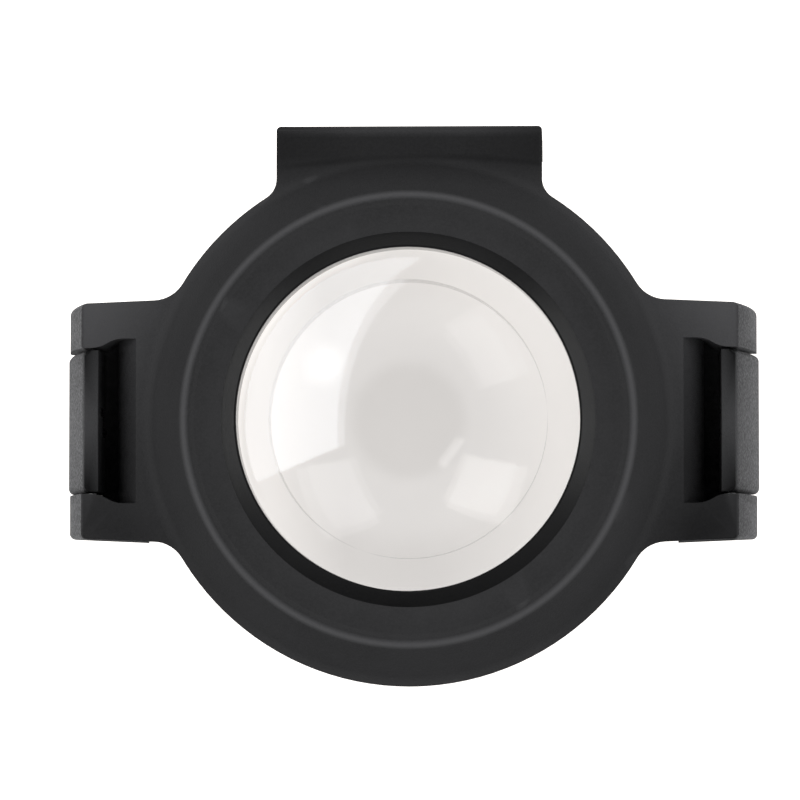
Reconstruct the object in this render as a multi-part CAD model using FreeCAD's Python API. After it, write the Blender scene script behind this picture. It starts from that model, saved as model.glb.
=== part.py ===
"""Clip-on dome lens guard: one black frame half with a clear dome, a top tab and two sprung side latches.

Millimetres. The origin is on the optical axis, in the plane of the camera's face. +Z points out of the dome,
+Y towards the top tab and +X to the right of someone who looks at the dome.
"""

import FreeCAD
import Part

import math
import os

V = FreeCAD.Vector
AXIS = V(0, 0, 1)
ORIGIN = V(0, 0, 0)

# The camera that the guard fits, and the gap round it
CAMERA_HALF_WIDTH = 23.1
WALL_GAP = 0.25
WALL_INNER = CAMERA_HALF_WIDTH + WALL_GAP  # inner faces of the side walls and of the top wall
REAR_Z = -9.4  # parting plane, halfway through the camera
SKIRT_Z = 0.2  # rear rim of the round body

# Outline of the body, seen from the front
BODY_R = 22.85
EAR_HALF_HEIGHT = 10.4
EAR_TAPER = 0.35  # how much narrower the ear is at its outer end
EAR_X_FRONT = 28.25
EAR_X_REAR = 30.3
EAR_FLANK_MID = (29.5, -2.6)  # (x, z) halfway down the bowed outer face
EAR_CORNER_R = 0.5
EAR_BLEND_R = 3.0
TAB_HALF_WIDTH = 11.45
TAB_Y = 25.45
TAB_ROUND_R = 0.75
TAB_CORNER_R = 0.45
TAB_BLEND_R = 1.9
EDGE_R = 0.12  # rounding of the front edge

# Front surface, as heights over a radius
FACE_Z = 4.5
CREST_R = 18.95
CREST_Z = 4.65
CREST_ROUND_R = 1.2
SLOPE = math.radians(40)
SLOPE_END_R = 22.1
EAR_FACE_Z = 2.0

# Bore, pocket and seats inside the round body
BORE_R = 16.05
SEAT_R = 17.8
SEAT_Z = 3.0
POCKET_R = 21.6
POCKET_Z = 2.3

# Dome
DOME_R = 14.65  # where it leaves the bezel
DOME_BASE_Z = 5.6
DOME_SPHERE_R = 20.0
DOME_WALL = 1.8
NECK_INNER_R = 11.9
FLANGE_R = 17.6
FLANGE_Z = (1.5, 2.6)

# Bezel ring
BEZEL_INNER_R = 14.68
BEZEL_LIP_R = 14.85
BEZEL_BOTTOM_Z = FLANGE_Z[1] + 0.05
BEZEL_TOP_Z = 5.6

# Backing ring, its cushion and its screws
LENS_BORE_R = 15.3
COLLAR_R = 15.9
BACKING_R = 21.5
BACKING_REAR_Z = 0.6
CUSHION_R = (16.0, 18.55)
CUSHION_Z = (-0.3, 0.9)
SCREW_COUNT = 6
SCREW_CIRCLE_R = 19.95
SCREW_HEAD_R = 1.15
SCREW_HEAD_H = 0.65
SCREW_HEAD_BEVEL = 0.15
SCREW_SEAT_Z = 1.3
SCREW_SHANK_R = 0.6
SCREW_TIP_Z = 3.2
SCREW_HOLE_R = 0.75

# Slot in each ear, with the side wall behind it
SLOT_HALF_LENGTH = 7.1
SLOT_WALL_TOP = (23.45, 2.1)
SLOT_WALL_MID = (24.65, 0.42)
SLOT_WALL_LOW = (25.4, -1.5)
LUG_FACE_Y = 6.3
LUG_STEP_X = (24.7, 27.4)
STOP_RIB_X = 27.2
STOP_RIB_Z = (-7.0, -6.0)
RIB_NOTCH_X = 26.83

# Latch, its pin and its spring
PIVOT_X = 27.75
PIVOT_Z = -3.8
PIN_R = 0.5
PIN_GAP = 0.03
PIN_Y = (-9.8, 9.0)
LATCH_GAP = 0.18
LATCH_HALF_LENGTH = LUG_FACE_Y - LATCH_GAP
LATCH_FRONT_Z = 1.95
LATCH_BAR_X = (26.8, 27.95)
LATCH_OUTER_MID = (29.5, -3.6)
LATCH_OUTER_LOW = (30.45, -8.8)
LATCH_REAR_Z = -8.8
LATCH_ARM_X = 27.3
HOOK_TIP_X = 26.1
HOOK_LEDGE_Z = -7.9
LATCH_CORNER_R = 0.55
HUB_R = 1.0
SPRING_WIRE_R = 0.15
SPRING_COIL_R = 0.75
SPRING_TURNS = 4
SPRING_PITCH = 0.36
SPRING_POCKET_HALF = 1.25
SPRING_POCKET_X = 28.75
SPRING_POCKET_Z = (-4.95, -2.6)
SPRING_GROOVE_X = 27.2
SPRING_GROOVE_TOP = -0.5

# Soft pads on the walls
PAD_RECESS = 0.3
PAD_PROUD = 0.2
SIDE_PAD_HALF = 5.6
TOP_PAD_HALF = 8.5
PAD_Z = (-8.2, -2.4)
LAP_DEPTH = 1.2
LAP_Y = 24.4


# ---------------------------------------------------------------- helpers

def line(a, b):
    return Part.LineSegment(a, b).toShape()


def arc(a, m, b):
    return Part.Arc(a, m, b).toShape()


def profile(points):
    """A closed wire in the XZ plane. A point is (x, z), or (x, z, "arc") for the middle of an arc."""
    edges = []
    start = V(points[0][0], 0, points[0][1])
    last, middle = start, None
    for point in points[1:] + points[:1]:
        here = V(point[0], 0, point[1])
        if len(point) == 3:
            middle = here
            continue
        edges.append(arc(last, middle, here) if middle else line(last, here))
        last, middle = here, None
    return Part.Wire(edges)


def turned(points):
    """A solid of revolution about the optical axis, from (radius, height) points."""
    return Part.Face(profile(points)).revolve(ORIGIN, AXIS, 360)


def along_y(points, y0, y1):
    """An XZ profile drawn out from y0 to y1."""
    solid = Part.Face(profile(points)).extrude(V(0, y1 - y0, 0))
    solid.translate(V(0, y0, 0))
    return solid


def box(x, y, z):
    """A box from three (low, high) pairs."""
    return Part.makeBox(x[1] - x[0], y[1] - y[0], z[1] - z[0], V(x[0], y[0], z[0]))


def disc(radius, z, hole=None):
    """A round plate between two heights, with an optional hole."""
    solid = Part.makeCylinder(radius, z[1] - z[0], V(0, 0, z[0]))
    return solid.cut(Part.makeCylinder(hole, z[1] - z[0], V(0, 0, z[0]))) if hole else solid


def rod_y(x, z, radius, y):
    """A round rod parallel to Y."""
    return Part.makeCylinder(radius, y[1] - y[0], V(x, y[0], z), V(0, 1, 0))


def mirrored(shape):
    """The same piece on the left."""
    return shape.mirror(ORIGIN, V(1, 0, 0))


def both(shape):
    return [shape, mirrored(shape)]


def on_circle(count, radius, start=0.0):
    for i in range(count):
        angle = math.radians(start + 360.0 * i / count)
        yield V(radius * math.cos(angle), radius * math.sin(angle), 0)


# ---------------------------------------------------------------- frame

def turn(centre, radius, a0, a1):
    """Three points of an arc from angle a0 to a1, in radians."""
    return [V(centre[0] + radius * math.cos(a), centre[1] + radius * math.sin(a), 0) for a in (a0, (a0 + a1) / 2, a1)]


def blend_centre(side, radius):
    """Distance along the body of the centre of a hollow corner, for a straight side at this distance."""
    return math.sqrt((BODY_R + radius) ** 2 - (side + radius) ** 2)


def right_outline():
    """Edges of the outline's right half, from the middle of the tab round to the lowest point."""
    edges = []

    def go(points):
        edges.append(arc(*points) if len(points) == 3 else line(*points))
        return points[-1]

    tx, ty = TAB_HALF_WIDTH + TAB_BLEND_R, blend_centre(TAB_HALF_WIDTH, TAB_BLEND_R)
    ex, ey = blend_centre(EAR_HALF_HEIGHT, EAR_BLEND_R), EAR_HALF_HEIGHT + EAR_BLEND_R
    tab_angle, ear_angle = math.atan2(ty, tx), math.atan2(ey, ex)
    taper = math.atan2(EAR_TAPER, EAR_X_REAR - ex)
    at = go([V(0, TAB_Y, 0), V(TAB_HALF_WIDTH, TAB_Y, 0)])
    blend = turn((tx, ty), TAB_BLEND_R, -math.pi, tab_angle - math.pi)
    go([at, blend[0]])
    go(blend)
    go(turn((0, 0), BODY_R, tab_angle, ear_angle))
    at = go(turn((ex, ey), EAR_BLEND_R, ear_angle + math.pi, 1.5 * math.pi - taper))
    ear_y = at.y - (EAR_X_REAR - at.x) * math.tan(taper)
    at = go([at, V(EAR_X_REAR, ear_y, 0)])
    at = go([at, V(EAR_X_REAR, -ear_y, 0)])
    blend = turn((ex, -ey), EAR_BLEND_R, math.pi / 2 + taper, math.pi - ear_angle)
    go([at, blend[0]])
    go(blend)
    go(turn((0, 0), BODY_R, -ear_angle, -math.pi / 2))
    return edges


def plan_block():
    """The outline drawn out from the parting plane to above the crest."""
    right = right_outline()
    left = [edge.mirror(ORIGIN, V(1, 0, 0)) for edge in right]
    wire = Part.Wire(Part.__sortEdges__(right + left))
    wire.translate(V(0, 0, REAR_Z))
    return Part.Face(wire).extrude(V(0, 0, CREST_Z + 1 - REAR_Z))


def front_block():
    """Everything below the front surface: flat face, crest, slope and the hollow run down to the ears."""
    bottom = REAR_Z - 1
    reach = EAR_X_REAR + 8
    slope = SLOPE
    top_x, top_z = CREST_R, CREST_Z - CREST_ROUND_R
    crest_end = (top_x + CREST_ROUND_R * math.sin(slope), top_z + CREST_ROUND_R * math.cos(slope))
    lead = math.acos((FACE_Z - top_z) / CREST_ROUND_R)
    crest_start = (top_x - CREST_ROUND_R * math.sin(lead), FACE_Z)
    slope_end = (SLOPE_END_R, crest_end[1] - (SLOPE_END_R - crest_end[0]) * math.tan(slope))
    run_r = (slope_end[1] - EAR_FACE_Z) / (1 - math.cos(slope))
    run_x = slope_end[0] + run_r * math.sin(slope)
    run_z = EAR_FACE_Z + run_r
    run_middle = (run_x - run_r * math.sin(slope / 2), run_z - run_r * math.cos(slope / 2))
    return turned(
        [
            (0, bottom),
            (0, FACE_Z),
            crest_start,
            (top_x, CREST_Z, "arc"),
            crest_end,
            slope_end,
            run_middle + ("arc",),
            (run_x, EAR_FACE_Z),
            (reach, EAR_FACE_Z),
            (reach, bottom),
        ]
    )


def sides_block():
    """A prism along Y whose bowed flanks give the ears their outer faces."""
    top, bottom = CREST_Z + 1, REAR_Z - 1
    flank = [
        (EAR_X_REAR, bottom),
        (EAR_X_REAR, REAR_Z),
        EAR_FLANK_MID + ("arc",),
        (EAR_X_FRONT, EAR_FACE_Z),
        (EAR_X_FRONT, top),
    ]
    return along_y([(-40, bottom)] + flank + [(-40, top)], -40, 40)


def tab_corner_cutter():
    """What the rounded right corner of the tab leaves out, seen from the front."""
    x, y, z = TAB_HALF_WIDTH - TAB_CORNER_R, TAB_Y - TAB_CORNER_R, REAR_Z - 1
    block = box((x, x + 1), (y, y + 1), (z, CREST_Z + 1))
    return block.cut(Part.makeCylinder(TAB_CORNER_R, CREST_Z + 1 - z, V(x, y, z)))


def tab_cutter():
    """What the rounded top edge of the tab leaves out."""
    y, z = TAB_Y - TAB_ROUND_R, EAR_FACE_Z - TAB_ROUND_R
    block = box((-20, 20), (y, TAB_Y + 1), (z, CREST_Z + 2))
    rod = Part.makeCylinder(TAB_ROUND_R, 40, V(-20, y, z), V(1, 0, 0))
    return block.cut(rod)


def frame_blank():
    """The frame before it is hollowed, with its ear corners and its front rim rounded."""
    blank = plan_block().common(front_block()).cut(tab_cutter())
    for side in both(sides_block()):
        blank = blank.common(side)
    blank = blank.makeFillet(EAR_CORNER_R, [e for e in blank.Edges if is_ear_corner(e)])
    blank = blank.makeFillet(EDGE_R, [e for e in blank.Edges if is_rim(e)])
    for cutter in both(tab_corner_cutter()):
        blank = blank.cut(cutter)
    return blank


def middle_of(edge):
    return edge.valueAt((edge.FirstParameter + edge.LastParameter) / 2)


def is_ear_corner(edge):
    """True for the long slanted edges at the outer ends of the ears."""
    middle = middle_of(edge)
    return abs(middle.x) > EAR_X_FRONT and abs(middle.y) > 9 and edge.BoundBox.ZLength > 5


def is_rim(edge):
    """True for the front edge of an ear's outer face. The rounding runs on from it all along the rim."""
    middle = middle_of(edge)
    return abs(middle.z - EAR_FACE_Z) < 1e-6 and abs(middle.y) < 1e-6 and abs(middle.x) > EAR_X_FRONT - 0.01


def slot_cutter():
    """What leaves the right ear between its two lugs, all the way out."""
    far, high = EAR_X_REAR + 5, CREST_Z
    section = along_y(
        [
            (SLOT_WALL_TOP[0], high),
            SLOT_WALL_TOP,
            SLOT_WALL_MID + ("arc",),
            SLOT_WALL_LOW,
            (SLOT_WALL_LOW[0], REAR_Z - 1),
            (far, REAR_Z - 1),
            (far, high),
        ],
        -EAR_HALF_HEIGHT,
        EAR_HALF_HEIGHT,
    )
    return section.common(slot_plan(far))


def slot_plan(far):
    """The slot's plan: its ends step in towards the latch along an S curve."""
    x0, x1 = LUG_STEP_X
    xm, ym = (x0 + x1) / 2, (SLOT_HALF_LENGTH + LUG_FACE_Y) / 2
    bulge = (SLOT_HALF_LENGTH - LUG_FACE_Y) / 8
    z = REAR_Z - 1

    def end(side):
        a, b = V(x0, side * SLOT_HALF_LENGTH, z), V(x1, side * LUG_FACE_Y, z)
        c = V(xm, side * ym, z)
        first = V((x0 + xm) / 2, side * ((SLOT_HALF_LENGTH + ym) / 2 + bulge), z)
        second = V((xm + x1) / 2, side * ((ym + LUG_FACE_Y) / 2 - bulge), z)
        inner = line(V(BORE_R, side * SLOT_HALF_LENGTH, z), a)
        return [inner, arc(a, first, c), arc(c, second, b), line(b, V(far, b.y, z))]

    sides = [
        line(V(far, LUG_FACE_Y, z), V(far, -LUG_FACE_Y, z)),
        line(V(BORE_R, SLOT_HALF_LENGTH, z), V(BORE_R, -SLOT_HALF_LENGTH, z)),
    ]
    wire = Part.Wire(Part.__sortEdges__(end(1) + end(-1) + sides))
    return Part.Face(wire).extrude(V(0, 0, CREST_Z - z + 2))


def stop_rib():
    """The rib on the side wall that the latch rests against, with a notch for the leg of the spring."""
    reach = SLOT_HALF_LENGTH + 0.1
    rib = box((SLOT_WALL_LOW[0] - 0.2, STOP_RIB_X), (-reach, reach), STOP_RIB_Z)
    y = -SPRING_TURNS * SPRING_PITCH / 2
    return rib.cut(box((RIB_NOTCH_X, STOP_RIB_X), (y - 0.2, y + 0.2), STOP_RIB_Z))


def side_pad_recess():
    return box((WALL_INNER - 1, WALL_INNER + PAD_RECESS), (-SIDE_PAD_HALF, SIDE_PAD_HALF), PAD_Z)


def top_pad_recess():
    return box((-TOP_PAD_HALF, TOP_PAD_HALF), (WALL_INNER - 1, WALL_INNER + PAD_RECESS), PAD_Z)


def screw_spots():
    return on_circle(SCREW_COUNT, SCREW_CIRCLE_R, 30)


def outer_frame():
    """The moulded black frame: round body, two ears with lugs, side walls, and the tab that runs back over the top."""
    body = frame_blank()
    body = body.cut(box((-WALL_INNER, WALL_INNER), (-40, WALL_INNER), (REAR_Z - 2, SKIRT_Z)))
    body = body.cut(disc(BORE_R, (SKIRT_Z - 1, CREST_Z + 1)))
    body = body.cut(disc(SEAT_R, (SKIRT_Z - 1, SEAT_Z)))
    body = body.cut(disc(POCKET_R, (SKIRT_Z - 1, POCKET_Z)))
    for cutter in both(slot_cutter()):
        body = body.cut(cutter)
    for rib in both(stop_rib()):
        body = body.fuse(rib)
    for hole in both(rod_y(PIVOT_X, PIVOT_Z, PIN_R, (-EAR_HALF_HEIGHT - 1, PIN_Y[1]))):
        body = body.cut(hole)
    for recess in both(side_pad_recess()) + [top_pad_recess()]:
        body = body.cut(recess)
    body = body.cut(box((-20, 20), (LAP_Y, TAB_Y + 1), (REAR_Z - 1, REAR_Z + LAP_DEPTH)))
    for spot in screw_spots():
        body = body.cut(Part.makeCylinder(SCREW_SHANK_R, SCREW_TIP_Z - POCKET_Z + 0.1, spot + V(0, 0, POCKET_Z)))
    return body.removeSplitter()


# ---------------------------------------------------------------- optical stack

def dome():
    """The clear dome: a cap with a wall of even thickness, a thicker straight neck and a flange."""
    centre_z = DOME_BASE_Z - math.sqrt(DOME_SPHERE_R**2 - DOME_R**2)
    inner_r = DOME_SPHERE_R - DOME_WALL
    neck_top = centre_z + math.sqrt(inner_r**2 - NECK_INNER_R**2)

    def on_sphere(radius, share, edge_r):
        angle = share * math.asin(edge_r / radius)
        return radius * math.sin(angle), centre_z + radius * math.cos(angle)

    return turned(
        [
            (0, centre_z + inner_r),
            (0, centre_z + DOME_SPHERE_R),
            on_sphere(DOME_SPHERE_R, 0.5, DOME_R) + ("arc",),
            (DOME_R, DOME_BASE_Z),
            (DOME_R, FLANGE_Z[1]),
            (FLANGE_R, FLANGE_Z[1]),
            (FLANGE_R, FLANGE_Z[0]),
            (NECK_INNER_R, FLANGE_Z[0]),
            (NECK_INNER_R, neck_top),
            on_sphere(inner_r, 0.5, NECK_INNER_R) + ("arc",),
        ]
    )


def bezel_ring():
    """The ring pressed into the frame round the dome's neck, with a cone that rises to the dome."""
    return turned(
        [
            (BEZEL_INNER_R, BEZEL_BOTTOM_Z),
            (BORE_R, BEZEL_BOTTOM_Z),
            (BORE_R, FACE_Z),
            (BEZEL_LIP_R, BEZEL_TOP_Z),
            (BEZEL_INNER_R, BEZEL_TOP_Z),
        ]
    )


def dome_gasket():
    """The flat seal between the dome's flange and the frame."""
    return disc(FLANGE_R, (FLANGE_Z[1], SEAT_Z), BORE_R)


def backing_ring():
    """The ring that clamps the dome's flange from behind. Its bore is where the camera's lens goes in."""
    ring = turned(
        [
            (LENS_BORE_R, 0),
            (COLLAR_R, 0),
            (COLLAR_R, CUSHION_Z[1]),
            (CUSHION_R[1] + 0.05, CUSHION_Z[1]),
            (CUSHION_R[1] + 0.05, BACKING_REAR_Z),
            (BACKING_R, BACKING_REAR_Z),
            (BACKING_R, POCKET_Z),
            (SEAT_R, POCKET_Z),
            (SEAT_R, FLANGE_Z[0]),
            (LENS_BORE_R, FLANGE_Z[0]),
        ]
    )
    for spot in screw_spots():
        ring = ring.cut(Part.makeCylinder(SCREW_HEAD_R + 0.05, SCREW_SEAT_Z + 1, spot + V(0, 0, -1)))
        ring = ring.cut(Part.makeCylinder(SCREW_HOLE_R, POCKET_Z, spot))
    return ring


def cushion_ring():
    """The soft ring that lies on the camera's face."""
    return disc(CUSHION_R[1], CUSHION_Z, CUSHION_R[0])


def frame_screws():
    """The screws that hold the backing ring to the frame, each with a cross recess in its head."""
    screws = []
    for spot in screw_spots():
        low = SCREW_SEAT_Z - SCREW_HEAD_H
        head = Part.makeCylinder(SCREW_HEAD_R, SCREW_HEAD_H, spot + V(0, 0, low))
        rim = [e for e in head.Edges if e.BoundBox.ZMax < low + 1e-6]
        head = head.makeChamfer(SCREW_HEAD_BEVEL, rim)
        shank = Part.makeCylinder(SCREW_SHANK_R, SCREW_TIP_Z - SCREW_SEAT_Z, spot + V(0, 0, SCREW_SEAT_Z))
        screw = head.fuse(shank).removeSplitter()
        for long_x, long_y in ((0.7, 0.16), (0.16, 0.7)):
            x, y = spot.x, spot.y
            recess = box((x - long_x, x + long_x), (y - long_y, y + long_y), (low - 0.1, low + 0.35))
            screw = screw.cut(recess)
        screws.append(screw)
    return Part.makeCompound(screws)


# ---------------------------------------------------------------- latches

def latch():
    """The right latch: a press bar in front of the pivot and a hook behind it."""
    x0, x1 = LATCH_BAR_X
    reach = LATCH_HALF_LENGTH
    plate = along_y(
        [
            (x0, LATCH_FRONT_Z),
            (x1, LATCH_FRONT_Z),
            LATCH_OUTER_MID + ("arc",),
            LATCH_OUTER_LOW,
            (HOOK_TIP_X + 0.9, LATCH_REAR_Z),
            (HOOK_TIP_X, HOOK_LEDGE_Z - 0.3),
            (HOOK_TIP_X, HOOK_LEDGE_Z),
            (LATCH_ARM_X, HOOK_LEDGE_Z),
            (LATCH_ARM_X, PIVOT_Z),
            (x0, PIVOT_Z),
        ],
        -reach,
        reach,
    )
    plate = plate.makeFillet(LATCH_CORNER_R, [e for e in plate.Edges if is_outer_corner(e)])
    plate = plate.makeFillet(EDGE_R, [e for e in plate.Edges if is_press_rim(e)])
    body = plate.fuse(rod_y(PIVOT_X, PIVOT_Z, HUB_R, (-reach, reach)))
    body = body.cut(rod_y(PIVOT_X, PIVOT_Z, PIN_R + PIN_GAP, (-reach - 1, reach + 1)))
    half = SPRING_POCKET_HALF
    body = body.cut(box((HOOK_TIP_X, SPRING_POCKET_X), (-half, half), SPRING_POCKET_Z))
    groove = box((HOOK_TIP_X, SPRING_GROOVE_X), (half - 0.75, half), (PIVOT_Z, SPRING_GROOVE_TOP))
    return body.cut(groove).removeSplitter()


def is_outer_corner(edge):
    """True for the long edges at the ends of the latch's outer face."""
    middle = middle_of(edge)
    return abs(middle.y) > 5 and edge.BoundBox.ZLength > 9 and middle.x > LATCH_BAR_X[1]


def is_press_rim(edge):
    """True for the edge between the front face and the outer face of the press bar."""
    middle = middle_of(edge)
    return abs(middle.z - LATCH_FRONT_Z) < 1e-6 and abs(middle.y) < 1e-6 and middle.x > LATCH_BAR_X[1] - 0.01


def latch_pin():
    """The steel pin on which the right latch turns, pressed into both lugs."""
    pin = rod_y(PIVOT_X, PIVOT_Z, PIN_R, PIN_Y)
    ends = [e for e in pin.Edges if e.BoundBox.YLength < 1e-6]
    return pin.makeChamfer(0.12, ends)


def latch_spring():
    """The right latch's torsion spring: a coil round the pin, a leg in the rib's notch and a leg behind the bar."""
    length = SPRING_TURNS * SPRING_PITCH
    helix = Part.makeHelix(SPRING_PITCH, length, SPRING_COIL_R)
    helix.rotate(ORIGIN, V(1, 0, 0), -90)
    helix.rotate(ORIGIN, V(0, 1, 0), 180)
    helix.translate(V(PIVOT_X, -length / 2, PIVOT_Z))
    start = helix.Edges[0].valueAt(helix.Edges[0].FirstParameter)
    end = helix.Edges[-1].valueAt(helix.Edges[-1].LastParameter)
    coil = wire_sweep(Part.Wire(helix.Edges))
    low = V(start.x, start.y, STOP_RIB_Z[0] + 0.3)
    legs = [wire_run([start, low]), wire_run([end, V(end.x, end.y, SPRING_GROOVE_TOP - 0.3)])]
    return coil.fuse(legs[0]).fuse(legs[1])


def wire_sweep(path):
    """Round wire swept along a path."""
    edge = path.Edges[0]
    section = Part.Wire(
        Part.makeCircle(SPRING_WIRE_R, edge.valueAt(edge.FirstParameter), edge.tangentAt(edge.FirstParameter))
    )
    return path.makePipeShell([section], True, True)


def wire_run(points):
    """Straight wire between points, with round ends."""
    solid = Part.makeSphere(SPRING_WIRE_R, points[0])
    for a, b in zip(points, points[1:]):
        solid = solid.fuse(Part.makeCylinder(SPRING_WIRE_R, (b - a).Length, a, b - a))
        solid = solid.fuse(Part.makeSphere(SPRING_WIRE_R, b))
    return solid


# ---------------------------------------------------------------- pads

def side_pad():
    """The soft strip on the right side wall."""
    x = (WALL_INNER - PAD_PROUD, WALL_INNER + PAD_RECESS)
    return box(x, (-SIDE_PAD_HALF + 0.05, SIDE_PAD_HALF - 0.05), (PAD_Z[0] + 0.05, PAD_Z[1] - 0.05))


def top_pad():
    """The soft strip under the top wall."""
    y = (WALL_INNER - PAD_PROUD, WALL_INNER + PAD_RECESS)
    return box((-TOP_PAD_HALF + 0.05, TOP_PAD_HALF - 0.05), y, (PAD_Z[0] + 0.05, PAD_Z[1] - 0.05))


# ---------------------------------------------------------------- output

def pieces():
    right = {
        "latch": latch(),
        "latch_pin": latch_pin(),
        "latch_spring": latch_spring(),
        "side_pad": side_pad(),
    }
    named = {
        "outer_frame": outer_frame(),
        "backing_ring": backing_ring(),
        "bezel_ring": bezel_ring(),
        "dome": dome(),
        "dome_gasket": dome_gasket(),
        "cushion_ring": cushion_ring(),
        "frame_screws": frame_screws(),
        "top_pad": top_pad(),
    }
    for name, shape in right.items():
        named["right_" + name] = shape
        named["left_" + name] = mirrored(shape)
    return named


def main():
    os.makedirs("parts", exist_ok=True)
    for name, shape in pieces().items():
        solids = shape.Solids
        shape = solids[0] if len(solids) == 1 else Part.makeCompound(solids)
        print(f"{name}: {len(solids)} solid(s), valid {shape.isValid()}, {shape.Volume:.1f} mm3")
        shape.exportStep(os.path.join("parts", name + ".step"))


main()
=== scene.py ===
"""Looks of the clip-on dome lens guard: materials, soft pads, floor, light and camera."""

import math
from collections import namedtuple

import bmesh
import bpy
from mathutils import Matrix, Vector


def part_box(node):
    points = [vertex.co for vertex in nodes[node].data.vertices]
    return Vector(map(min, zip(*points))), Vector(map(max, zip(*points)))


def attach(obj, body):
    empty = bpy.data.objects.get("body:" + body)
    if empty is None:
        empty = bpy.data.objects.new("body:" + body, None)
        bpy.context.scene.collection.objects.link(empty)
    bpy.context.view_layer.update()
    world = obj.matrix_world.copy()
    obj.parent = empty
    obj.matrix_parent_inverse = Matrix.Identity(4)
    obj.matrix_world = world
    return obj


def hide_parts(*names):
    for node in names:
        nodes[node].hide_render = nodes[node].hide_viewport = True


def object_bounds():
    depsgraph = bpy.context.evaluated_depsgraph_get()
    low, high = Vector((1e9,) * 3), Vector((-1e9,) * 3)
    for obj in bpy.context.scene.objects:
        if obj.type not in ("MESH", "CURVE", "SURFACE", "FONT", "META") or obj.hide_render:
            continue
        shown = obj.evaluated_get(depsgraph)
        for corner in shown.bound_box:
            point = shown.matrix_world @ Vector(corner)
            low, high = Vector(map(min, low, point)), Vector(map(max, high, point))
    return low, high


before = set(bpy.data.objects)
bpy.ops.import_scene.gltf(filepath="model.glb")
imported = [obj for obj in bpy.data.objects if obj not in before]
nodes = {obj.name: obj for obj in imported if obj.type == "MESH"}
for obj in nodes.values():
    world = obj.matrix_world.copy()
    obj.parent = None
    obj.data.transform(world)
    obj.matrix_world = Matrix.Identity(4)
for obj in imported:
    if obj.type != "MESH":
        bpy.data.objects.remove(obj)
cad_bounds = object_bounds()
MM = 0.001

# Places on the guard, in millimetres
CREST_R, CREST_Z = 19.25, 4.65
FRONT_END_X = (28.0, 28.3)  # where the ears' front faces end
SIDE_X = (28.05, 28.3)  # where the ears' outer faces start
SLOT_X = (23.4, 23.5)
SLOT_END_Y = (7.0, 7.15)
SLOT_RIM_Z = (1.85, 1.95)
SLOPE_FOOT_R = 22.3
TAB_EDGE_Y = (24.4, 25.3)
TAB_START_Y = (20.0, 22.8)
TAB_CREASE_CENTRE = (1.5, -57.3, 2.0)
TAB_CREASE_R = 80.0
BAR_FRONT_Z = (1.5, 1.8)
BAR_INNER_X = (26.8, 26.9)

# The black that painted shade darkens the plastic towards.
PAINTED_SHADE_BLACK = (0.0022, 0.0022, 0.0023)
DUST = (0.15, 0.147, 0.14)
LINT = (0.16, 0.155, 0.15)

Spot = namedtuple("Spot", "x y z reach")


# ---------------------------------------------------------------- material helpers


class Nodes:
    """A node tree, with short ways to add and link nodes."""

    def __init__(self, tree):
        self.tree = tree

    def add(self, kind, **settings):
        node = self.tree.nodes.new(kind)
        for key, value in settings.items():
            setattr(node, key, value)
        return node

    def link(self, source, target):
        self.tree.links.new(source, target)

    def math(self, operation, a, b):
        node = self.add("ShaderNodeMath", operation=operation)
        for socket, value in zip(node.inputs, (a, b)):
            if isinstance(value, (int, float)):
                socket.default_value = value
            else:
                self.link(value, socket)
        return node.outputs["Value"]

    def times(self, first, *others):
        for other in others:
            first = self.math("MULTIPLY", first, other)
        return first

    def most(self, first, *others):
        for other in others:
            first = self.math("MAXIMUM", first, other)
        return first

    def absolute(self, value):
        return self.math("ABSOLUTE", value, 0.0)

    def remap(self, value, low, high, to_low, to_high):
        node = self.add("ShaderNodeMapRange", clamp=True)
        self.link(value, node.inputs["Value"])
        numbers = {"From Min": low, "From Max": high, "To Min": to_low, "To Max": to_high}
        for key, number in numbers.items():
            node.inputs[key].default_value = number
        return node.outputs["Result"]

    def fade(self, value, span, to_low=0.0, to_high=1.0):
        """Goes from one value to another over a span in millimetres."""
        return self.remap(value, span[0] * MM, span[1] * MM, to_low, to_high)


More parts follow.
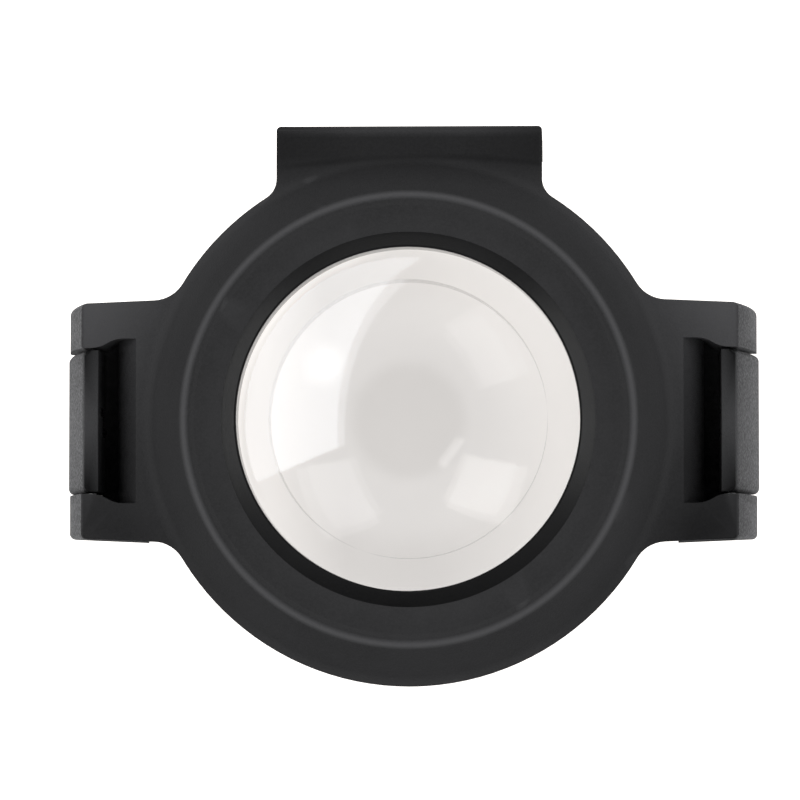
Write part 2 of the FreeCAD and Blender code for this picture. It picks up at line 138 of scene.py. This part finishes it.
class Surface(Nodes):
    """The node tree of a new material."""

    def __init__(self, name):
        self.material = bpy.data.materials.new(name)
        self.material.use_nodes = True
        super().__init__(self.material.node_tree)
        self.shader = self.tree.nodes["Principled BSDF"]
        self.output = self.tree.nodes["Material Output"]
        self.place = self.add("ShaderNodeTexCoord").outputs["Object"]

    def noise(self, scale, detail=2.0, roughness=0.5, distortion=0.0, place=None):
        """A noise over the object's own space. The scale is in features per metre."""
        node = self.add("ShaderNodeTexNoise")
        self.link(place or self.place, node.inputs["Vector"])
        node.inputs["Scale"].default_value = scale
        node.inputs["Detail"].default_value = detail
        node.inputs["Roughness"].default_value = roughness
        node.inputs["Distortion"].default_value = distortion
        return node.outputs["Fac"]

    def cells(self, scale):
        node = self.add("ShaderNodeTexVoronoi")
        self.link(self.place, node.inputs["Vector"])
        node.inputs["Scale"].default_value = scale
        return node.outputs["Distance"]

    def where(self):
        """The object-space x, y and z, and the distance from the optical axis."""
        parts = self.add("ShaderNodeSeparateXYZ")
        self.link(self.place, parts.inputs[0])
        flat = self.add("ShaderNodeVectorMath", operation="MULTIPLY")
        flat.inputs[1].default_value = (1, 1, 0)
        self.link(self.place, flat.inputs[0])
        reach = self.add("ShaderNodeVectorMath", operation="LENGTH")
        self.link(flat.outputs["Vector"], reach.inputs[0])
        return Spot(*(parts.outputs[k] for k in "XYZ"), reach.outputs["Value"])

    def blend(self, factor, a, b):
        """A colour between a and b. Each is a colour or another node's output."""
        node = self.add("ShaderNodeMix", data_type="RGBA")
        self.link(factor, node.inputs["Factor"])
        for socket, value in ((node.inputs[6], a), (node.inputs[7], b)):
            if isinstance(value, tuple):
                socket.default_value = (*value, 1.0)
            else:
                self.link(value, socket)
        return node.outputs[2]

    def bump(self, height, distance, under=None):
        """A bump whose distance is in millimetres, on top of another."""
        node = self.add("ShaderNodeBump")
        self.link(height, node.inputs["Height"])
        node.inputs["Distance"].default_value = distance * MM
        node.inputs["Strength"].default_value = 1.0
        if under is not None:
            self.link(under, node.inputs["Normal"])
        return node.outputs["Normal"]


def lighter(colour, times):
    return tuple(c * times for c in colour)


def moulded_plastic(name, dark, light, roughness, grain=1.0, specular=0.3, painted_highlight=None, shade=None):
    """Black moulded plastic: fine spark-eroded grain, coarser on the outer sides, faint flow clouds and a little dust.

    Of the two optional helpers, which take the node helper, the first gives how strong a painted highlight is at each
    spot, lighter and smoother, and the second how strong painted shade is, darker and less glossy.
    """
    n = Surface(name)
    x = n.where().x
    clouds = n.noise(170, detail=3)
    fine = n.noise(5200, detail=3, roughness=0.6)
    pits = n.cells(6500)
    coarse = n.noise(4200, detail=2, roughness=0.55)
    side = n.fade(n.absolute(x), SIDE_X)
    sparse = n.remap(n.noise(260, detail=1), 0.62, 0.68, 0.0, 1.0)
    specks = n.times(n.remap(n.cells(900), 0.0, 0.04, 1.0, 0.0), sparse)
    wear_and_highlight = n.remap(n.add("ShaderNodeNewGeometry").outputs["Pointiness"], 0.54, 0.64, 0.0, 0.4)
    # Painted highlight from the helper, on top of the wear on sharp edges.
    if painted_highlight is not None:
        wear_and_highlight = n.most(wear_and_highlight, painted_highlight(n))

    base = n.blend(n.remap(clouds, 0.3, 0.7, 0.0, 1.0), dark, light)
    base = n.blend(n.remap(fine, 0.35, 0.65, 0.0, 0.35), base, lighter(light, 1.6))
    base = n.blend(n.times(side, n.remap(coarse, 0.4, 0.62, 0.1, 0.45)), base, lighter(light, 3.2))
    n.shader.inputs["Specular IOR Level"].default_value = specular
    # Painted shade from the helper darkens the colour and dulls the gloss.
    if shade is not None:
        deep = shade(n)
        base = n.blend(deep, base, PAINTED_SHADE_BLACK)
        n.link(n.remap(deep, 0.0, 1.0, specular, specular * 0.15), n.shader.inputs["Specular IOR Level"])
    # Worn edges and the painted highlight make the colour lighter.
    base = n.blend(n.times(wear_and_highlight, 0.8), base, lighter(light, 3.4))
    base = n.blend(n.times(specks, 0.3), base, DUST)
    n.link(base, n.shader.inputs["Base Color"])

    # Painted sheen on the outer faces' coarse grain at a grazing angle, strong on the left and, on the right, growing
    # towards the rear edge.
    flank = n.most(n.fade(x, (-28, -27), 1.1, 0.0), n.fade(x, (28.4, 30), 0.62, 1.15))
    n.link(n.times(side, n.remap(coarse, 0.38, 0.64, 0.11, 0.42), flank), n.shader.inputs["Sheen Weight"])
    n.shader.inputs["Sheen Roughness"].default_value = 0.55

    rough = n.remap(fine, 0.3, 0.7, roughness - 0.05, roughness + 0.06)
    rough = n.math("SUBTRACT", rough, n.times(wear_and_highlight, 0.12))
    rough = n.math("ADD", rough, n.remap(clouds, 0.3, 0.7, -0.03, 0.03))
    n.link(rough, n.shader.inputs["Roughness"])
    bumps = n.bump(pits, 0.018 * grain)
    bumps = n.bump(fine, 0.02 * grain, under=bumps)
    bumps = n.bump(n.times(coarse, side), 0.07, under=bumps)
    n.link(bumps, n.shader.inputs["Normal"])
    return n.material


def frame_painted_highlight(n):
    """Painted highlight on the top of the crest, the tab's outer edge and the upper ends of the ears."""
    x, y, z, reach = n.where()
    across = n.absolute(x)
    away = n.absolute(n.math("SUBTRACT", reach, CREST_R * MM))
    crest = n.times(n.fade(away, (0.08, 0.42), 1.0, 0.0), n.fade(z, (CREST_Z - 0.5, CREST_Z - 0.3)))
    ear = n.times(n.fade(across, (11, 15)), n.fade(reach, (20.6, 28.5), 0.0, 1.15))
    ear = n.times(ear, n.fade(across, FRONT_END_X, 1.0, 0.0), n.fade(y, (-3, 9.5)))
    edge = n.times(n.fade(y, TAB_EDGE_Y, 0.0, 0.62), n.fade(across, (5, 11), 1.0, 0.3))
    return n.most(crest, ear, edge)


def tab_shade(n, y, across):
    """Painted shade in the tab, most at its sides and along its crease."""
    # Painted shade over the tab, stronger towards its sides.
    flow = n.times(n.fade(y, TAB_START_Y), n.fade(across, (4, 11), 0.38, 0.56))
    crease = n.add("ShaderNodeVectorMath", operation="DISTANCE")
    n.link(n.place, crease.inputs[0])
    crease.inputs[1].default_value = lighter(TAB_CREASE_CENTRE, MM)
    away = n.absolute(n.math("SUBTRACT", crease.outputs["Value"], TAB_CREASE_R * MM))
    return n.math("ADD", flow, n.times(n.fade(away, (0.05, 0.4), 0.16, 0.0), n.fade(y, (21.5, 22))))


def slot_shade(n, y, z, across):
    """Painted shade on the slot walls, mottled, darkest at the bottom."""
    inside = n.times(n.fade(n.absolute(y), SLOT_END_Y, 1.0, 0.0), n.fade(across, SLOT_X))
    inside = n.times(inside, n.fade(z, SLOT_RIM_Z, 1.0, 0.0))
    mottle = n.remap(n.noise(1500, detail=2), 0.35, 0.65, -0.14, 0.14)
    return n.times(inside, n.math("ADD", n.fade(z, (-2, 1.4), 0.8, 0.0), mottle))


def frame_shade(n):
    """Painted shade in the tab, deep in the slots, at the foot of the slope and towards the ears' lower ends."""
    x, y, z, reach = n.where()
    across = n.absolute(x)
    ear = n.times(n.fade(across, (11, 16)), n.fade(across, FRONT_END_X, 1.0, 0.0))
    ear = n.times(ear, n.fade(reach, (20.5, 26)), n.fade(x, (-25, 25), 0.4, 0.64))
    lower = n.times(ear, n.fade(y, (-9, 2), 1.0, 0.0))
    from_foot = n.absolute(n.math("SUBTRACT", reach, SLOPE_FOOT_R * MM))
    foot = n.times(n.fade(from_foot, (0.2, 0.9), 0.1, 0.0), n.fade(across, (16.5, 19)))
    return n.most(tab_shade(n, y, across), n.most(lower, foot), slot_shade(n, y, z, across))


def bar_painted_highlight(n):
    """Painted highlight down the middle of a press bar."""
    return n.fade(n.absolute(n.where().y), (0.5, 5.5), 0.42, 0.0)


def bar_shade(n):
    """Painted shade at the ends of a press bar's front face and on its inner side."""
    spot = n.where()
    ends = n.times(n.fade(spot.z, BAR_FRONT_Z), n.fade(n.absolute(spot.y), (1, 5.8), 0.0, 0.88))
    return n.most(ends, n.fade(n.absolute(spot.x), BAR_INNER_X, 0.95, 0.0))


def clear_plastic(name):
    """Polished clear plastic with faint smears. Light goes straight through, and both faces mirror by the angle."""
    n = Surface(name)
    smears = n.noise(95, detail=4, roughness=0.6, distortion=0.6)
    n.tree.nodes.remove(n.shader)
    through = n.add("ShaderNodeBsdfTransparent")
    tint = n.blend(n.remap(smears, 0.4, 0.7, 0.0, 1.0), (0.97, 0.966, 0.962), (0.96, 0.956, 0.952))
    n.link(tint, through.inputs["Color"])
    gloss = n.add("ShaderNodeBsdfGlossy")
    n.link(n.remap(smears, 0.35, 0.75, 0.055, 0.1), gloss.inputs["Roughness"])
    facing = n.add("ShaderNodeLayerWeight").outputs["Facing"]
    share = n.remap(n.math("POWER", facing, 5.0), 0.0, 1.0, 0.04, 1.0)
    mix = n.add("ShaderNodeMixShader")
    n.link(share, mix.inputs["Fac"])
    n.link(through.outputs["BSDF"], mix.inputs[1])
    n.link(gloss.outputs["BSDF"], mix.inputs[2])
    n.link(mix.outputs["Shader"], n.output.inputs["Surface"])
    return n.material


def soft_rubber(name, dark, light):
    """Matt silicone rubber with a fine orange-peel skin and lint."""
    n = Surface(name)
    clouds, skin = n.noise(240, detail=3), n.noise(3800, detail=3)
    base = n.blend(n.remap(clouds, 0.3, 0.7, 0.0, 1.0), dark, light)
    base = n.blend(n.remap(n.noise(2100, detail=1), 0.66, 0.72, 0.0, 0.4), base, LINT)
    n.link(base, n.shader.inputs["Base Color"])
    n.link(n.remap(skin, 0.3, 0.7, 0.7, 0.86), n.shader.inputs["Roughness"])
    n.shader.inputs["Specular IOR Level"].default_value = 0.35
    n.shader.inputs["Sheen Weight"].default_value = 0.12
    n.link(n.bump(skin, 0.03), n.shader.inputs["Normal"])
    return n.material


def steel(name, dark, light, roughness, stretch=1.0):
    """Steel with faint stains and a grain that can be drawn out along Y into fine lines."""
    n = Surface(name)
    n.shader.inputs["Metallic"].default_value = 1.0
    drawn = n.add("ShaderNodeMapping")
    drawn.inputs["Scale"].default_value = (1.0, stretch, 1.0)
    n.link(n.place, drawn.inputs["Vector"])
    grain = n.noise(9000, place=drawn.outputs["Vector"])
    stains = n.noise(900, detail=3)
    n.link(n.blend(n.remap(stains, 0.3, 0.7, 0.0, 1.0), dark, light), n.shader.inputs["Base Color"])
    n.link(n.remap(grain, 0.3, 0.7, roughness - 0.07, roughness + 0.1), n.shader.inputs["Roughness"])
    n.link(n.bump(grain, 0.006), n.shader.inputs["Normal"])
    return n.material


def paint(node, material):
    """Puts a material on every slot of a CAD node."""
    for slot in nodes[node].material_slots:
        slot.material = material


# ---------------------------------------------------------------- materials of the CAD nodes

FRAME = moulded_plastic(
    "frame_black",
    (0.0152, 0.0152, 0.0157),
    (0.0188, 0.0188, 0.0194),
    0.5,
    specular=0.22,
    painted_highlight=frame_painted_highlight,
    shade=frame_shade,
)
LATCH = moulded_plastic(
    "latch_black",
    (0.0150, 0.0151, 0.0156),
    (0.0190, 0.0191, 0.0196),
    0.5,
    grain=1.4,
    specular=0.22,
    painted_highlight=bar_painted_highlight,
    shade=bar_shade,
)
BEZEL = moulded_plastic(
    "bezel_black", (0.0014, 0.0014, 0.0015), (0.0022, 0.0022, 0.0023), 0.38, grain=0.5, specular=0.22
)
BACKING = moulded_plastic("backing_black", (0.008, 0.008, 0.0085), (0.012, 0.012, 0.0125), 0.38, grain=0.35)

paint("outer_frame", FRAME)
paint("bezel_ring", BEZEL)
paint("backing_ring", BACKING)
paint("dome", clear_plastic("dome_clear"))
paint("dome_gasket", soft_rubber("gasket_rubber", (0.012, 0.012, 0.012), (0.02, 0.02, 0.02)))
paint("frame_screws", steel("screw_black", (0.03, 0.03, 0.032), (0.06, 0.058, 0.056), 0.38))
for side in ("right", "left"):
    paint(side + "_latch", LATCH)
    paint(side + "_latch_pin", steel(side + "_pin_steel", (0.5, 0.5, 0.5), (0.62, 0.61, 0.6), 0.3, stretch=0.04))
    paint(side + "_latch_spring", steel(side + "_spring_steel", (0.055, 0.052, 0.05), (0.1, 0.095, 0.088), 0.32))


# ---------------------------------------------------------------- soft ring and pads

CUSHION_WIDTH, CUSHION_CORNER, CUSHION_SLACK = 2.55, 0.3, 0.01
CUSHION_STEPS, SECTION_STEPS = 144, 28
STRIP_CORNER, STRIP_DENT = 0.32, 0.07
STRIP_COLUMNS, STRIP_ROWS = 41, 21


def add_piece(name, verts, faces, node, material):
    """A closed soft mesh that rides on the guard and stands for a CAD node."""
    mesh = bpy.data.meshes.new(name)
    mesh.from_pydata(verts, [], faces)
    shell = bmesh.new()
    shell.from_mesh(mesh)
    bmesh.ops.recalc_face_normals(shell, faces=shell.faces)
    for face in shell.faces:
        face.smooth = True
    shell.to_mesh(mesh)
    shell.free()
    piece = bpy.data.objects.new(name, mesh)
    bpy.context.scene.collection.objects.link(piece)
    mesh.materials.append(material)
    smooth = piece.modifiers.new("smooth", "SUBSURF")
    smooth.levels = smooth.render_levels = 1
    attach(piece, "guard")
    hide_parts(node)


def tube_faces(rows, count):
    """Quads between rows of points. Each row is a closed loop, and the last row joins the first."""
    faces = []
    for r in range(rows):
        a, b = r * count, (r + 1) % rows * count
        faces += [(a + i, a + (i + 1) % count, b + (i + 1) % count, b + i) for i in range(count)]
    return faces


def make_cushion_ring(material):
    """A foam ring: flat in its groove, crowned on the camera's side, with sides that belly a little."""
    low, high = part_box("cushion_ring")
    middle = high.x - CUSHION_WIDTH * MM / 2
    half = (CUSHION_WIDTH / 2 - CUSHION_SLACK) * MM
    top, bottom = high.z, low.z
    corner = CUSHION_CORNER * MM
    section = []
    for step in range(SECTION_STEPS):
        angle = 2 * math.pi * step / SECTION_STEPS
        c, s = math.cos(angle), math.sin(angle)
        across = half * math.copysign(abs(c) ** 0.42, c)
        if s >= 0:
            height = top - corner * (1 - abs(s) ** 0.3)
        else:
            height = top - corner - (top - corner - bottom) * abs(s) ** 0.62
        section.append((across, height))
    verts = []
    for step in range(CUSHION_STEPS):
        angle = 2 * math.pi * step / CUSHION_STEPS
        wave = math.sin(5 * angle + 0.7) + 0.6 * math.sin(11 * angle + 2.1)
        for across, height in section:
            lift = 0.012 * MM * (wave + 1.6) if height < 0.2 * MM else 0.0
            radius = middle + across * (1 - 0.006 * (1 + wave / 1.6))
            verts.append((radius * math.cos(angle), radius * math.sin(angle), height + lift))
    faces = tube_faces(CUSHION_STEPS, SECTION_STEPS)
    add_piece("soft_cushion_ring", verts, faces, "cushion_ring", material)


def spots(count):
    """Places from -1 to 1, closer together towards the ends."""
    return [math.sin(math.pi / 2 * (2 * i / (count - 1) - 1)) for i in range(count)]


def rounding(t):
    """1 in the middle of a strip, falling to 0 at its edge."""
    return math.sqrt(max(0.0, 1 - abs(t) ** 9))


def strip_faces():
    """Quads over both sides of a strip and round its rim."""
    count = STRIP_ROWS * STRIP_COLUMNS
    faces = []
    for r in range(STRIP_ROWS - 1):
        for c in range(STRIP_COLUMNS - 1):
            a = r * STRIP_COLUMNS + c
            b = a + STRIP_COLUMNS
            faces.append((a, a + 1, b + 1, b))
            faces.append((b + count, b + 1 + count, a + 1 + count, a + count))
    last = STRIP_COLUMNS - 1
    rim = list(range(STRIP_COLUMNS)) + [r * STRIP_COLUMNS + last for r in range(1, STRIP_ROWS)]
    rim += [count - 1 - c for c in range(1, STRIP_COLUMNS)]
    rim += [r * STRIP_COLUMNS for r in range(STRIP_ROWS - 2, 0, -1)]
    faces += [(a, a + count, b + count, b) for a, b in zip(rim, rim[1:] + rim[:1])]
    return faces


def make_strip(name, node, depth_axis, toward, material):
    """A foam strip: flat where it is glued, rounded along its edges and crowned on the camera's side."""
    low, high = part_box(node)
    centre, size = (low + high) / 2, high - low
    length_axis = 1 - depth_axis
    length, width, depth = size[length_axis], size.z, size[depth_axis]
    base = centre[depth_axis] - toward * depth / 2
    corner, dent = STRIP_CORNER * MM, STRIP_DENT * MM
    plan, heights = [], []
    for v in spots(STRIP_ROWS):
        for u in spots(STRIP_COLUMNS):
            along = u * (length / 2 - corner * abs(v) ** 8) - u * abs(u) * dent * math.cos(math.pi / 2 * v)
            across = v * (width / 2 - corner * abs(u) ** 16) - v * abs(v) * dent * math.cos(math.pi / 2 * u)
            wave = 0.03 * math.sin(7 * u + 1.3) * math.cos(5 * v)
            crown = (1 - u * u) * (1 - v * v)
            plan.append((along, across))
            heights.append(depth * (0.3 + 0.46 * rounding(u) * rounding(v) + (0.2 + wave) * crown))
    verts = []
    for up in (0, 1):
        for (along, across), height in zip(plan, heights):
            point = [0.0, 0.0, centre.z + across]
            point[length_axis] = centre[length_axis] + along
            point[depth_axis] = base + toward * height * up
            verts.append(tuple(point))
    add_piece(name, verts, strip_faces(), node, material)


PAD_RUBBER = soft_rubber("pad_rubber", (0.018, 0.018, 0.0185), (0.028, 0.028, 0.029))
make_cushion_ring(soft_rubber("cushion_rubber", (0.016, 0.016, 0.017), (0.026, 0.026, 0.027)))
make_strip("soft_right_side_pad", "right_side_pad", 0, -1, PAD_RUBBER)
make_strip("soft_left_side_pad", "left_side_pad", 0, 1, PAD_RUBBER)
make_strip("soft_top_pad", "top_pad", 1, -1, PAD_RUBBER)


# ---------------------------------------------------------------- floor, light and camera

FLOOR_REACH = 1.5
FLOOR_GAP = 0.02 * MM
TENT_STOPS = ((0.0, 0.3), (0.2, 0.35), (0.5, 0.9), (0.6, 1.0), (0.84, 1.0), (0.9, 0.2), (1.0, 0.18))
TENT_STRENGTH, BACKDROP_STRENGTH = 1.5, 0.95
CAMERA_YAW, CAMERA_PITCH = math.radians(2.0), math.radians(2.7)
CAMERA_DISTANCE, CAMERA_LENS = 0.4, 211
CAMERA_AIM = Vector((-0.68, 1.61, 5.0)) * MM


def floor_glow(n):
    """How brightly the table glows by place: painted shade makes it dimmer under the dome and painted shadow almost
    dark under the latches, and painted light makes it a little brighter towards the upper right, the left and just
    outside the dome's left rim.
    """
    x, y, _, reach = n.where()
    glow = n.fade(reach, (15, 22), 0.56, 1.15)
    upper_right = n.fade(n.math("ADD", x, n.times(y, 0.6)), (-6, 12), 0.0, 0.2)
    lean = n.most(upper_right, n.fade(x, (-13, -6), 0.22, 0.0))
    glow = n.math("ADD", glow, n.times(lean, n.fade(reach, (6, 13))))
    rim = n.times(n.fade(x, (-6, -2), 0.15, 0.0), n.fade(y, (-7, -4)), n.fade(reach, (15.05, 15.5)))
    glow = n.math("ADD", glow, rim)
    under = n.times(n.fade(n.absolute(x), (28.4, 29.2), 1.0, 0.0), n.fade(n.absolute(y), (8, 9), 1.0, 0.0))
    under = n.times(under, n.fade(reach, (24, 25), 0.0, 0.97))
    return n.times(glow, n.math("SUBTRACT", 1.0, under))


def floor_material():
    """Matt pale table. It glows where it is seen, directly or in the dome, and lights nothing."""
    n = Surface("floor_white")
    n.link(n.blend(n.noise(9, detail=3), (0.42, 0.42, 0.425), (0.45, 0.45, 0.45)), n.shader.inputs["Base Color"])
    n.shader.inputs["Roughness"].default_value = 0.85
    n.shader.inputs["Specular IOR Level"].default_value = 0.1
    n.shader.inputs["Emission Color"].default_value = (1.0, 0.965, 0.93, 1.0)
    rays = n.add("ShaderNodeLightPath")
    behind_glass = n.remap(rays.outputs["Transparent Depth"], 0.0, 1.0, 0.0, 1.0)
    seen = n.most(rays.outputs["Is Camera Ray"], n.times(rays.outputs["Is Glossy Ray"], behind_glass))
    n.link(n.times(floor_glow(n), seen), n.shader.inputs["Emission Strength"])
    return n.material


def make_floor():
    z = cad_bounds[0].z - FLOOR_GAP
    corners = [(x * FLOOR_REACH, y * FLOOR_REACH, z) for x, y in ((-1, -1), (1, -1), (1, 1), (-1, 1))]
    mesh = bpy.data.meshes.new("floor")
    mesh.from_pydata(corners, [], [(0, 1, 2, 3)])
    floor = bpy.data.objects.new("floor", mesh)
    bpy.context.scene.collection.objects.link(floor)
    mesh.materials.append(floor_material())


def lit_group(name, node):
    """A collection that a lamp can be limited to."""
    group = bpy.data.collections.new(name)
    group.objects.link(nodes[node])
    return group


def aim(thing, right, back):
    """Turns a lamp or camera so that it looks away from back, with its own X along right."""
    thing.rotation_mode = "QUATERNION"
    thing.rotation_quaternion = Matrix((right, back.cross(right), back)).transposed().to_quaternion()


def softbox(
    name, group, place, distance, size, radiance, colour=(1, 1, 1), roll=0.0, shift=(0.0, 0.0), disc=False
):
    """A panel light that shows only on one group.

    place is its azimuth from +X towards +Y and its angle from straight up, in degrees. The panel is square to the line
    from there to the object, rolled about that line and shifted in its own plane by shares of the distance.
    """
    azimuth, tilt = (math.radians(value) for value in place)
    data = bpy.data.lights.new(name, "AREA")
    data.shape = "DISK" if disc else "RECTANGLE"
    data.size, data.size_y = size
    data.energy = radiance * size[0] * size[1] * math.pi * (math.pi / 4 if disc else 1)
    data.color = colour
    light = bpy.data.objects.new(name, data)
    bpy.context.scene.collection.objects.link(light)
    back = Vector((math.sin(tilt) * math.cos(azimuth), math.sin(tilt) * math.sin(azimuth), math.cos(tilt)))
    across = Vector((-math.sin(azimuth), math.cos(azimuth), 0))
    up = back.cross(across)
    light.location = (back + across * shift[0] + up * shift[1]) * distance
    turn = math.radians(roll)
    first = across * math.cos(turn) + up * math.sin(turn)
    aim(light, first, back)
    light.visible_camera = False
    light.light_linking.receiver_collection = group


def make_lights():
    dome, bezel = lit_group("dome_only", "dome"), lit_group("bezel_only", "bezel_ring")
    softbox("key_panel", dome, (148, 68), 0.55, (1.65, 1.1), 3.8, (0.92, 0.95, 1.0), roll=26, shift=(-0.16, -0.65))
    softbox("key_core", dome, (146, 54), 0.5, (0.1, 0.1), 2.0, disc=True)
    softbox("key_halo", dome, (146, 54), 0.51, (0.19, 0.19), 1.2, disc=True)
    softbox("right_high_panel", dome, (44.6, 57), 0.55, (0.35, 0.26), 0.85, (1.0, 0.99, 0.99), roll=-15.5)
    softbox("right_low_panel", dome, (-41.4, 54), 0.55, (0.27, 0.33), 2.0, (1.0, 0.99, 0.97), roll=23)
    softbox("left_low_panel", dome, (-134, 56), 0.55, (0.34, 0.3), 1.3, (0.99, 0.98, 1.0), roll=-28)
    softbox("lens_glint", dome, (-37, 27), 0.55, (0.16, 0.024), 3.4)
    softbox("right_side_panel", bezel, (12, 78), 0.5, (0.6, 0.4), 2.2)
    softbox("left_side_panel", bezel, (168, 78), 0.5, (0.6, 0.4), 2.2)
    softbox("top_side_panel", bezel, (90, 78), 0.5, (0.5, 0.4), 0.6)


def make_world():
    """A white tent: dark straight above, brightest around that, and dimmer low down, least so at the sides."""
    world = bpy.data.worlds.new("tent")
    bpy.context.scene.world = world
    world.use_nodes = True
    n = Nodes(world.node_tree)
    back = n.tree.nodes["Background"]
    back.inputs["Color"].default_value = (0.985, 0.985, 1.0, 1.0)
    parts = n.add("ShaderNodeSeparateXYZ")
    n.link(n.add("ShaderNodeTexCoord").outputs["Generated"], parts.inputs[0])
    x, y, z = (parts.outputs[k] for k in "XYZ")
    ramp = n.add("ShaderNodeValToRGB")
    n.link(z, ramp.inputs["Fac"])
    while len(ramp.color_ramp.elements) < len(TENT_STOPS):
        ramp.color_ramp.elements.new(0.5)
    for stop, (place, value) in zip(ramp.color_ramp.elements, TENT_STOPS):
        stop.position = place
        stop.color = (value, value, value, 1.0)
    side = n.remap(n.times(x, x), 0.0, 1.0, 0.16, 1.7)
    side = n.math("ADD", side, n.times(n.math("SUBTRACT", y, x), 0.14))
    low = n.remap(z, 0.1, 0.5, 1.0, 0.0)
    dimming = n.math("ADD", 1.0, n.times(low, n.math("SUBTRACT", side, 1.0)))
    tent = n.times(ramp.outputs["Color"], TENT_STRENGTH, dimming)
    seen = n.add("ShaderNodeLightPath").outputs["Is Camera Ray"]
    unseen = n.math("SUBTRACT", 1.0, seen)
    n.link(n.math("ADD", n.times(seen, BACKDROP_STRENGTH), n.times(tent, unseen)), back.inputs["Strength"])


def make_camera():
    """Almost straight above the dome, a little to the right and below, with the aim slightly off the axis."""
    data = bpy.data.cameras.new("camera")
    data.sensor_width = 36
    data.lens = CAMERA_LENS
    data.clip_start, data.clip_end = 0.01, 20
    camera = bpy.data.objects.new("camera", data)
    bpy.context.scene.collection.objects.link(camera)
    bpy.context.scene.camera = camera
    back = Vector((math.sin(CAMERA_YAW), -math.sin(CAMERA_PITCH), math.cos(CAMERA_YAW) * math.cos(CAMERA_PITCH)))
    back.normalize()
    camera.location = CAMERA_AIM + back * CAMERA_DISTANCE
    aim(camera, Vector((0, 1, 0)).cross(back).normalized(), back)


make_floor()
make_lights()
make_world()
make_camera()

settings = bpy.context.scene.view_settings
settings.view_transform = "Standard"
settings.look = "None"
settings.exposure = 0.0
settings.gamma = 1.0
